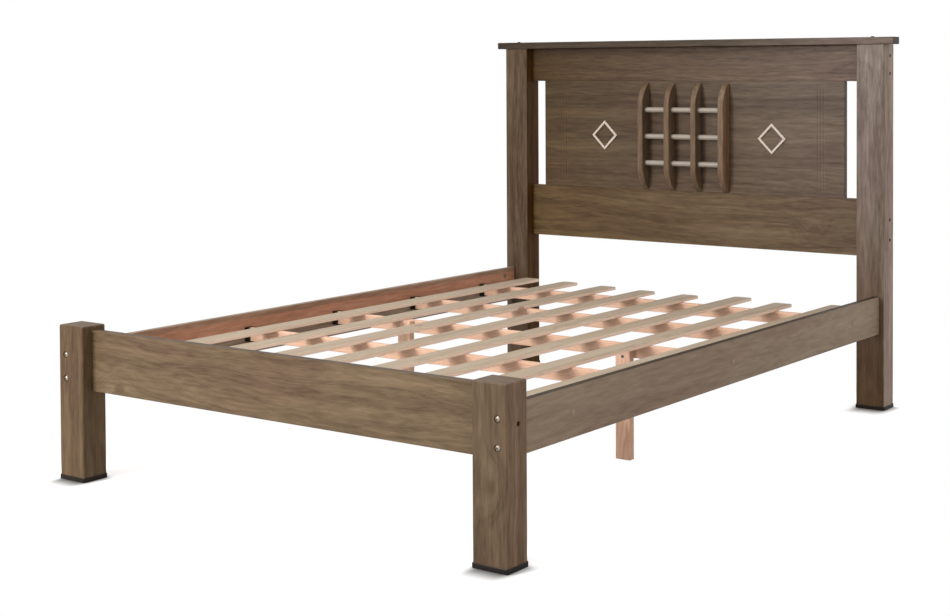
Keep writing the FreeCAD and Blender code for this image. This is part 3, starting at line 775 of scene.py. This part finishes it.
# %% [markdown]
# ## Posts and rails
# The photograph shows each board in a tone of its own, the side rails the lightest. The tones were
# found by rendering, comparing each board's mean brightness with the photograph and multiplying,
# which is quicker than guessing and keeps the grain as it is. So the tones hold painted light and
# painted sheen as well as each board's own stain: the grey in the blue-heavy tones of the side rails
# and the right head post is a painted sheen. A table holds what differs, and one loop gives every
# board its finish.
#
# ALL_ALONG stands for a shade that is full before the board begins, so that it doesn't change along
# it. In WHOLE_BACK the bare part reaches past the board's edges in the same way.

# %% Posts and rails
ALL_ALONG = (-2, -1)
WHOLE_BACK = ("+y", -0.3, 1.3)


def finish_boards(boards):
    """Gives each board in a table its stain."""
    for node_name, way in boards.items():
        finish_node(node_name, stained_board(node_name, **way))
    print("stained:", *boards)


posts_and_rails = {
    # Painted light: lighter tops on the foot posts, and a lighter right face on the right one.
    "foot_post_left": dict(
        grain="z",
        heart_offset=(-0.05, 0.07),
        tone=(0.764, 0.741, 0.646),
        painted_light_and_shade=[("+z", (1.05, 1.06, 1.12), *ALL_ALONG)],
    ),
    "foot_post_right": dict(
        grain="z",
        heart_offset=(0.03, 0.09),
        tone=(0.750, 0.764, 0.736),
        painted_light_and_shade=[("+x", (1.38, 1.29, 1.22), *ALL_ALONG), ("+z", (1.18, 1.15, 1.17), *ALL_ALONG)],
    ),
    # Painted shade: a darker inner side.
    "head_post_left": dict(
        grain="z",
        heart_offset=(0.06, 0.08),
        tone=(0.705, 0.750, 0.791),
        painted_light_and_shade=[("+x", (0.76, 0.50, 0.24), *ALL_ALONG)],
        shine=0.03,
    ),
    # Painted grey sheen in the blue-heavy tone; painted shade on the front, darkest at its lower end.
    "head_post_right": dict(
        grain="z",
        heart_offset=(-0.02, 0.09),
        tone=(1.90, 2.12, 2.72),
        painted_light_and_shade=[("-y", (0.70, 0.76, 0.82), *ALL_ALONG), ("-y", (0.53, 0.39, 0.23), 0.75, 0.0)],
    ),
    # Painted shade: a darker top.
    "foot_rail": dict(
        grain="x",
        heart_offset=(0.06, -0.03),
        tone=(0.966, 1.01, 0.953),
        bare=WHOLE_BACK,
        painted_light_and_shade=[("+z", (0.55, 0.5, 0.45), *ALL_ALONG)],
    ),
    # Side rails: the stained lower inner faces are partly painted shade under the slats; the right rail's
    # top is darker as painted shade.
    "side_rail_left": dict(
        grain="y",
        heart_offset=(-0.08, 0.02),
        tone=(1.77, 1.89, 2.15),
        bare=("+x", 0.4, 0.85),
    ),
    "side_rail_right": dict(
        grain="y",
        heart_offset=(-0.09, 0.03),
        tone=(1.67, 1.84, 2.08),
        bare=("-x", 0.4, 0.85),
        painted_light_and_shade=[("+z", (0.17, 0.15, 0.12), *ALL_ALONG)],
        figure=0.6,
    ),
}
finish_boards(posts_and_rails)

# %% [markdown]
# ## Headboard
# The headboard goes from a dark olive on the left to a greyer brown on the right, a painted sheen, so
# its three wide boards have a second tone at their far end. One tone over the whole headboard would do
# that too, but each board has its own place between the two. The panel is glued up from four staves,
# and its grooves are painted lighter, as painted light against the shade in them. The bowed bars in
# front of it are all sawn alike, which a loop says in a line.

# %% Headboard
# The far tones of the three wide boards are a painted sheen towards the right end.
headboard = {
    "head_top_rail": dict(
        grain="x",
        heart_offset=(0.07, 0.03),
        tone=(0.457, 0.390, 0.201),
        far_painted_sheen=(0.966, 0.987, 1.21),
        bare=WHOLE_BACK,
    ),
    "head_center_panel": dict(
        grain="x",
        heart_offset=(0.08, 0.02),
        tone=(0.509, 0.483, 0.344),
        far_painted_sheen=(0.839, 0.909, 1.10),
        staves=4,
        bare=WHOLE_BACK,
        grooves=(1.7, 1.75, 1.85),
    ),
    "head_bottom_rail": dict(
        grain="x",
        heart_offset=(0.06, -0.02),
        tone=(0.730, 0.685, 0.423),
        far_painted_sheen=(0.964, 1.02, 1.06),
        bare=WHOLE_BACK,
    ),
    # Painted sheen: the cap's front grows lighter and greyer towards its far end.
    "head_cap_board": dict(
        grain="x",
        heart_offset=(0.03, -0.09),
        tone=(0.376, 0.388, 0.390),
        painted_light_and_shade=[("-y", (2.7, 2.9, 3.9), 0.55, 1.0)],
    ),
}
lattice_tones = [(0.98, 0.99, 0.98), (0.98, 0.98, 0.98), (0.96, 0.98, 0.99), (1.16, 1.22, 1.30)]
for bar, tone in enumerate(lattice_tones, 1):
    headboard[f"lattice_bar_{bar}"] = dict(grain="z", heart_offset=(0.04, 0.02 * bar), tone=tone)
# Painted light on the right side of bar 4.
headboard["lattice_bar_4"]["painted_light_and_shade"] = [("+x", (1.53, 1.3, 1.13), *ALL_ALONG)]
finish_boards(headboard)

# %% [markdown]
# ## Raw pine
# The cross bars and centre legs are sawn, unstained pine: peach coloured, with darker rings and
# small knots, and rough enough to scatter all the light. A new material could start from nothing,
# but the same log does for them, with its own colours and no varnish.

# %% Raw pine
def fibre_gloss(tree, log, smoothest):
    """The roughness of unvarnished wood, which is duller where its fibres stand up."""
    return number(tree, "MULTIPLY_ADD", log["Fibres"], 0.15, smoothest)


def raw_board(node_name, grain, heart_offset):
    """Sawn pine without a finish, for the bars and legs."""
    material, tree, output = blank_material("raw_" + node_name)
    log = log_of(tree, node_name, grain, heart_offset, ring_width=0.0042)
    depth = weigh(tree, (log["Streaks"], 0.45), (log["Rings"], 0.38), (log["Fibres"], 0.28))
    wood_colour = ramp(
        tree,
        depth,
        (0.25, colour(200, 166, 142)),
        (0.48, colour(187, 149, 124)),
        (0.80, colour(160, 118, 90)),
    )
    wood_colour = knotted(tree, log, wood_colour, 0.75, colour(136, 88, 56))
    relief = weigh(tree, (log["Fibres"], 0.7), (log["Streaks"], 0.5))
    gloss = fibre_gloss(tree, log, smoothest=0.62)
    surface(tree, output, wood_colour, gloss, relief, bumps=0.5, depth=0.0006)
    return material


for bar in range(1, 6):
    finish_node(f"cross_bar_{bar}", raw_board(f"cross_bar_{bar}", "x", (0.05 - 0.02 * bar, 0.05)))
for side in ("left", "right"):
    finish_node(f"center_leg_{side}", raw_board(f"center_leg_{side}", "z", (0.04, 0.05)))
print("raw boards:", sum(m.name.startswith("raw_") for m in bpy.data.materials))

# %% [markdown]
# ## Slats
# The slats are thin pale boards straight off the saw. Their flat faces have gone grey-beige and show
# faint saw lines across the grain, while their edges, cut later, are pinker. Two materials with a
# border between them would need the mesh split. Which face a point is on can be read from its
# normal instead, so one material covers both.

# %% Slats
SAW_LINES = (420.0, 9.0, 9.0)


def slat_wood(node_name, heart_offset):
    """Rough sawn pine, grey on the faces and pink on the edges."""
    material, tree, output = blank_material("wood_" + node_name)
    log = log_of(tree, node_name, "y", heart_offset, ring_width=0.0048)
    depth = weigh(tree, (log["Streaks"], 0.5), (log["Rings"], 0.24), (log["Fibres"], 0.3))
    face = ramp(
        tree,
        depth,
        (0.25, colour(155, 141, 121)),
        (0.50, colour(140, 123, 102)),
        (0.80, colour(118, 99, 78)),
    )
    edge = ramp(tree, depth, (0.25, colour(218, 194, 174)), (0.80, colour(182, 148, 122)))
    normal = add(tree, "SeparateXYZ", {0: add(tree, "TexCoord").outputs["Normal"]}).outputs
    flat = smooth_step(tree, number(tree, "ABSOLUTE", normal["Z"]), 0.55, 0.85)
    wood_colour = blend_colours(tree, flat, edge, face)
    wood_colour = knotted(tree, log, wood_colour, 0.7, colour(128, 96, 68))
    saw = add(tree, "TexNoise", {"Vector": vector(tree, "MULTIPLY", grain_place(tree, "y"), SAW_LINES)})
    relief = weigh(tree, (log["Fibres"], 0.6), (saw.outputs["Fac"], 0.5))
    gloss = fibre_gloss(tree, log, smoothest=0.60)
    surface(tree, output, wood_colour, gloss, relief, bumps=0.45, depth=0.0005)
    return material


for slat in range(1, 9):
    heart_offset = (0.02 * slat - 0.09, -0.06 - 0.01 * (slat % 3))
    finish_node(f"slat_{slat}", slat_wood(f"slat_{slat}", heart_offset))
print("slats:", sum(m.name.startswith("wood_slat") for m in bpy.data.materials))

# %% [markdown]
# ## Pale wood
# The three round rods and the two diamonds of the headboard are turned and cut from a pale
# close-grained wood and only oiled, so they stand out against the stain. The dowels inside the
# headboard are of the same wood. Close grain means fine rings and hardly any streaks, which is again
# the same log with other numbers. The diamonds are flat to the light and come out lighter than the
# rods in the photograph, so each kind has a tone.

# %% Pale wood
def pale_wood(node_name, grain, heart_offset, tone):
    """Close-grained wood with an oil finish."""
    material, tree, output = blank_material("pale_" + node_name)
    log = log_of(tree, node_name, grain, heart_offset, ring_width=0.0018)
    depth = weigh(tree, (log["Streaks"], 0.5), (log["Rings"], 0.15), (log["Fibres"], 0.35))
    wood_colour = ramp(
        tree,
        depth,
        (0.25, colour(152, 143, 133)),
        (0.50, colour(138, 128, 117)),
        (0.80, colour(112, 101, 88)),
    )
    oiled = tinted(tree, wood_colour, tone)
    gloss = fibre_gloss(tree, log, smoothest=0.42)
    surface(tree, output, oiled, gloss, log["Fibres"], bumps=0.25, depth=0.0003)
    return material


rods = [f"lattice_rod_{spot}" for spot in ("bottom", "middle", "top")]
diamonds = [f"diamond_{side}" for side in ("left", "right")]
for node_name in rods:
    finish_node(node_name, pale_wood(node_name, "x", (0.03, 0.02), tone=(0.90, 0.88, 0.86)))
for node_name in diamonds:
    finish_node(node_name, pale_wood(node_name, "x", (0.05, 0.03), tone=(1.5, 1.47, 1.48)))
finish_node("panel_dowels", pale_wood("panel_dowels", "z", (0.02, 0.03), tone=(1, 1, 1)))
print("pale pieces:", len(rods + diamonds) + 1)

# %% [markdown]
# ## Plastic and steel
# Moulded plastic is one colour all through, so what makes it look moulded is its gloss: a fine
# texture from the mould and a surface that isn't quite flat. Steel parts are plated or oiled, with
# fine marks from turning. Modelled scratches would be far too small to see, so small noises on
# roughness and bump give both. Brackets, barrel nuts and nails keep their exact meshes and take
# their finish here; the other small parts get theirs when they are built below.

# %% Plastic and steel
SMEARS_PER_METRE = 45.0
GRIT_PER_METRE = 1900.0
DIRT_PER_METRE = 260.0
MARKS_PER_METRE = 2600.0


def plastic(name, base, roughness):
    """Moulded plastic. Its gloss varies round the roughness, with smears and a fine grit."""
    spread = 0.12
    material, tree, output = blank_material(name)
    place = add(tree, "TexCoord").outputs["Object"]
    grit = add(tree, "TexNoise", {"Vector": place, "Scale": GRIT_PER_METRE, "Detail": 2.0}).outputs["Fac"]
    smear = add(tree, "TexNoise", {"Vector": place, "Scale": SMEARS_PER_METRE, "Detail": 3.0}).outputs["Fac"]
    lighter = tuple(min(1.0, c * 1.25) for c in base[:3]) + (1,)
    shade = ramp(tree, smear, (0.3, base), (0.8, lighter))
    gloss = weigh(tree, (smear, spread), (grit, spread / 2))
    gloss = number(tree, "ADD", gloss, roughness - 0.75 * spread)
    dull = {"Specular IOR Level": 0.12}
    surface(tree, output, shade, gloss, grit, bumps=0.2, depth=0.0001, fixed=dull)
    return material


def steel(name, base, roughness, dirt):
    """Bare or plated steel with fine marks, dull where dirt sits."""
    material, tree, output = blank_material(name)
    place = add(tree, "TexCoord").outputs["Object"]
    mottle = add(tree, "TexNoise", {"Vector": place, "Scale": DIRT_PER_METRE, "Detail": 4.0}).outputs["Fac"]
    marks = add(tree, "TexNoise", {"Vector": place, "Scale": MARKS_PER_METRE, "Detail": 2.0}).outputs["Fac"]
    shade = ramp(tree, mottle, (0.30, dirt), (0.52, base))
    gloss = number(tree, "MULTIPLY_ADD", marks, 0.25, roughness - 0.12)
    surface(tree, output, shade, gloss, marks, bumps=0.15, depth=0.0001, fixed={"Metallic": 1.0})
    return material


shoe_plastic = plastic("shoe_plastic", colour(24, 19, 16), 0.30)
bracket_plastic = plastic("bracket_plastic", colour(27, 19, 14), 0.50)
cover_plastic = plastic("cover_plastic", colour(120, 104, 88), 0.55)
zinc = steel("zinc_plated_steel", colour(152, 140, 127), 0.50, dirt=colour(112, 104, 96))
dull_zinc = steel("dull_zinc", colour(84, 82, 82), 0.5, dirt=colour(58, 56, 55))
dark_steel = steel("dark_oiled_steel", colour(96, 92, 88), 0.40, dirt=colour(52, 48, 44))
nail_steel = steel("nail_steel", colour(176, 172, 164), 0.45, dirt=colour(120, 110, 98))

exact_parts = {
    "bar_brackets_left": bracket_plastic,
    "bar_brackets_right": bracket_plastic,
    "barrel_nuts": zinc,
    "slat_nails": nail_steel,
}
for node_name, finish in exact_parts.items():
    finish_node(node_name, finish)
print("exact small parts with their finish:", len(exact_parts))

# %% [markdown]
# ## Turned heads with a drive
# On a real bed every bolt and screw has something for its key or driver: a hexagon in the rail
# bolts, a cross in most of the screws. The exact solids only have plain domes. A cutter could bore
# the recess out of a dome, but it leaves messy faces. Here a head is built as a stack of rings with
# as many points each, so that the innermost rings can simply take the recess's outline and every
# face between two rings is a clean quad.

# %% Rings and outlines
RING_POINTS = 48
CROSS_SLIMNESS = math.tan(math.radians(15))


def outline_reach(kind, angle):
    """How far an outline of unit size reaches from its middle in one direction."""
    if kind == "hexagon":
        return 1 / math.cos(angle % (math.pi / 3) - math.pi / 6)
    if kind == "round":
        return 1.0
    off_arm = angle % (math.pi / 2)
    off_arm = min(off_arm, math.pi / 2 - off_arm)
    beside_arm = CROSS_SLIMNESS / max(math.sin(off_arm), 1e-6)
    return min(beside_arm, 1 / math.cos(off_arm))


def add_turned(shape, rings, place, outwards):
    """Adds one closed turned body. rings are (height, size, outline) from the inner end outwards."""
    swing = Vector(outwards).to_track_quat("Z", "Y")
    loops = []
    for height, size, kind in rings:
        loop = []
        for step in range(RING_POINTS):
            angle = 2 * math.pi * step / RING_POINTS
            reach = size * outline_reach(kind, angle)
            spot = Vector((reach * math.cos(angle), reach * math.sin(angle), height))
            loop.append(shape.verts.new(Vector(place) + swing @ spot))
        loops.append(loop)
    skin_loops(shape, loops)


def skin_loops(shape, loops):
    """Joins rings of as many points with quads and closes both ends."""
    count = len(loops[0])
    for lower, upper in zip(loops, loops[1:]):
        for step in range(count):
            after = (step + 1) % count
            shape.faces.new((lower[step], lower[after], upper[after], upper[step]))
    shape.faces.new(reversed(loops[0]))
    shape.faces.new(loops[-1])


def soften(piece, sharp_from=35):
    """Smooth shading, with edges steeper than sharp_from degrees kept crisp."""
    shape = bmesh.new()
    shape.from_mesh(piece.data)
    for face in shape.faces:
        face.smooth = True
    for edge in shape.edges:
        edge.smooth = edge.calc_face_angle(0.0) < math.radians(sharp_from)
    shape.to_mesh(piece.data)
    shape.free()


print("a hexagon's corners reach", round(outline_reach("hexagon", 0.0), 3), "times as far as its flats")

# %% [markdown]
# ## Where the fasteners sit
# The real bolts sit where their holes were drilled, and the exact solids already hold those places.
# Typing them in again would go wrong at the first change of a size. A group of bolts is one mesh, so
# it is walked edge by edge until each separate bolt is found. Its box then gives the place and the
# length. A word says which way the head looks: out of the bed's side, in towards its middle, or along
# an axis.

# %% Places of the fasteners
FIXED_WAYS = {"-y": (0, -1, 0), "+y": (0, 1, 0), "+z": (0, 0, 1)}


def loose_boxes(node_name):
    """The lowest and highest corner of each separate solid in a CAD piece."""
    shape = bmesh.new()
    shape.from_mesh(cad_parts[node_name].data)
    bmesh.ops.remove_doubles(shape, verts=shape.verts, dist=1e-6)
    waiting = set(shape.verts)
    boxes = []
    while waiting:
        reached = [waiting.pop()]
        spots = []
        while reached:
            vert = reached.pop()
            spots.append(vert.co.copy())
            for edge in vert.link_edges:
                other = edge.other_vert(vert)
                if other in waiting:
                    waiting.discard(other)
                    reached.append(other)
        low = Vector([min(spot[axis] for spot in spots) for axis in range(3)])
        high = Vector([max(spot[axis] for spot in spots) for axis in range(3)])
        boxes.append((low, high))
    shape.free()
    return sorted(boxes, key=lambda box: tuple(round(v, 5) for v in box[0]))


def head_direction(way, middle):
    """The direction that a head looks in, for a fastener on its side of the bed."""
    if way in FIXED_WAYS:
        return Vector(FIXED_WAYS[way])
    side = 1 if middle.x > 0 else -1
    return Vector((side if way == "out" else -side, 0, 0))


def replace_fasteners(node_name, way, finish, slot, body, rings_for):
    """Builds a node's fasteners again, each in the place of its own solid."""
    shape = bmesh.new()
    for low, high in loose_boxes(node_name):
        middle = (low + high) / 2
        outwards = head_direction(way, middle)
        reach = abs((high - low).dot(outwards))
        add_turned(shape, *rings_for(reach, middle, outwards), outwards)
    piece = mesh_piece(node_name + "_with_drives", shape)
    soften(piece)
    piece.data.materials.append(finish)
    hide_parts(node_name)
    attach(piece, body)
    print(piece.name, len(piece.data.polygons), "faces")


print("rail bolts at the foot:", len(loose_boxes("rail_bolts_foot")))

# %% [markdown]
# ## Bolts and screws
# Two sorts matter to the eye: the bright round heads on the posts and the dark screws sunk in their
# outer sides. The screws on the cap board are plated too, but look dull grey. A head's dome is part
# of a ball, whose radius follows from the head's width and the dome's height, and the shank ends in
# a point. Each group could have a function of its own, but they differ only in sizes, driver, finish
# and direction, so one function and one table do for all eight.

# %% Bolts and screws
def head_rings(shank, length, head, rim, dome, drive, drive_size, drive_depth):
    """Rings of a pointed shank with a domed head and a recess for its driver."""
    ball = (head**2 + dome**2) / (2 * dome)
    dome_end = drive_size * 1.12
    rings = [(-length, shank * 0.15, "round"), (-length + 1.6 * shank, shank, "round")]
    rings += [(0.0, shank, "round"), (0.0, head * 0.97, "round")]
    rings += [(head * 0.03, head, "round"), (rim, head, "round")]
    for step in range(1, 6):
        size = head + (dome_end - head) * step / 5
        rings.append((rim + dome - ball + math.sqrt(ball**2 - size**2), size, "round"))
    top = rings[-1][0]
    rings += [(top, drive_size, drive), (top - drive_size * 0.1, drive_size * 0.94, drive)]
    rings += [(top - drive_depth, drive_size * 0.90, drive)]
    rings += [(top - drive_depth * 1.15, drive_size * 0.2, "round")]
    return rings


def headed(kind):
    """Places the rings of one kind so that the head's top meets the solid's end."""
    def rings_for(reach, middle, outwards):
        above_seat = kind["rim"] + kind["dome"]
        seat = middle + outwards * (reach / 2 - above_seat)
        return head_rings(length=reach - above_seat, **kind), seat
    return rings_for


def sizes(drive, **millimetres):
    """The sizes of one kind of fastener in metres. shank, head and drive_size are half widths."""
    return dict(drive=drive, **{name: size / 1000 for name, size in millimetres.items()})


rail_bolt = sizes("hexagon", shank=3.75, head=6.25, rim=1.5, dome=2.5, drive_size=2.4, drive_depth=2.5)
cap_screw = sizes("cross", shank=2.5, head=6.0, rim=0.8, dome=3.0, drive_size=3.0, drive_depth=2.0)
side_screw = sizes("hexagon", shank=3.5, head=5.0, rim=3.0, dome=0.8, drive_size=2.1, drive_depth=2.5)
machine_screw = sizes("cross", shank=2.5, head=4.5, rim=2.0, dome=1.0, drive_size=2.4, drive_depth=1.6)
bracket_screw = sizes("cross", shank=1.8, head=4.0, rim=1.0, dome=0.7, drive_size=2.2, drive_depth=1.1)
leg_screw = sizes("cross", shank=2.0, head=4.5, rim=0.6, dome=1.2, drive_size=2.4, drive_depth=1.2)

fasteners = {
    "rail_bolts_foot": (rail_bolt, "-y", zinc, "zinc_steel", "bed_frame"),
    "rail_bolts_head": (rail_bolt, "+y", zinc, "zinc_steel", "bed_frame"),
    "cap_screws": (cap_screw, "+z", dull_zinc, "zinc_steel", "bed_frame"),
    "head_frame_screws": (side_screw, "out", dark_steel, "dark_steel", "bed_frame"),
    "foot_rail_screws": (side_screw, "out", dark_steel, "dark_steel", "bed_frame"),
    "bracket_machine_screws": (machine_screw, "out", dark_steel, "dark_steel", "bed_frame"),
    "bracket_wood_screws": (bracket_screw, "in", dark_steel, "dark_steel", "bed_frame"),
    "leg_screws": (leg_screw, "-y", dark_steel, "dark_steel", "slat_base"),
}
for node_name, (kind, *rest) in fasteners.items():
    replace_fasteners(node_name, *rest, headed(kind))

# %% [markdown]
# ## Shoes
# A plastic shoe comes out of its mould with rounded lips and a fine step where the two halves of the
# mould met. A bevelled box would round every edge alike and miss the step. A rectangle with rounded
# corners, drawn again and again at rising heights, gives the wall any profile: up the outside, over
# the lip and down again to the floor that the post stands on.

# %% Shoes
SHOE_CORNER = 0.005
LEAST_CORNER = 0.0004
SHOE_WALL = [
    (0.0035, 0.0000), (0.0011, 0.0000), (0.0003, 0.0004), (0.0000, 0.0012), (0.0000, 0.0040),
    (0.0004, 0.0042), (0.0004, 0.0048), (0.0000, 0.0050), (0.0000, 0.0108), (0.0003, 0.0116),
    (0.0008, 0.0120), (0.0013, 0.0118), (0.0015, 0.0112), (0.0015, 0.0040),
]


def rounded_rectangle(low, high, inset, height, corner_steps=8):
    """Points round a rectangle with rounded corners, inset from a box's sides."""
    radius = max(SHOE_CORNER - inset, LEAST_CORNER)
    left, right = low.x + inset + radius, high.x - inset - radius
    front, back = low.y + inset + radius, high.y - inset - radius
    points = []
    for x, y, start in ((right, back, 0), (left, back, 90), (left, front, 180), (right, front, 270)):
        for step in range(corner_steps + 1):
            angle = math.radians(start + 90 * step / corner_steps)
            points.append(Vector((x + radius * math.cos(angle), y + radius * math.sin(angle), height)))
    return points


def shoe_piece(node_name):
    """Builds one shoe again from the (inset, height) pairs of its wall."""
    low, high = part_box(node_name)
    shape = bmesh.new()
    loops = []
    for inset, height in SHOE_WALL:
        loops.append([shape.verts.new(point) for point in rounded_rectangle(low, high, inset, height)])
    skin_loops(shape, loops)
    piece = mesh_piece(node_name + "_moulded", shape)
    soften(piece)
    piece.data.materials.append(shoe_plastic)
    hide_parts(node_name)
    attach(piece, "bed_frame")


shoes = sorted(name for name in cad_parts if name.startswith("post_shoe"))
for node_name in shoes:
    shoe_piece(node_name)
print("shoes:", len(shoes))

# %% [markdown]
# ## Screw covers
# Round covers, nearly the colour of the rail, hide the screws that go through it. Each is a low dome
# with a sunk ring and a stem that clips in. Shaping a disc by hand would do, but the stack of rings
# that made the heads needs only another list, of heights above the rail and half widths.

# %% Screw covers
COVER_THICKNESS = 0.0015
COVER_PROFILE = [
    (-0.0024, 0.0060), (-0.0021, 0.0066), (0.0000, 0.0066), (0.0000, 0.0076), (0.0002, 0.0079),
    (0.0006, 0.0080), (0.0010, 0.0076), (0.0011, 0.0070), (0.0007, 0.0064), (0.0007, 0.0058),
    (0.0012, 0.0050), (0.0014, 0.0030), (COVER_THICKNESS, 0.0008),
]


def cover_rings(reach, middle, outwards):
    """A stem in the rail and a low dome with a sunk ring on it."""
    rail_face = middle + outwards * (reach / 2 - COVER_THICKNESS)
    return [(height, size, "round") for height, size in COVER_PROFILE], rail_face


replace_fasteners("rail_screw_covers", "out", cover_plastic, "cover_plastic", "bed_frame", cover_rings)
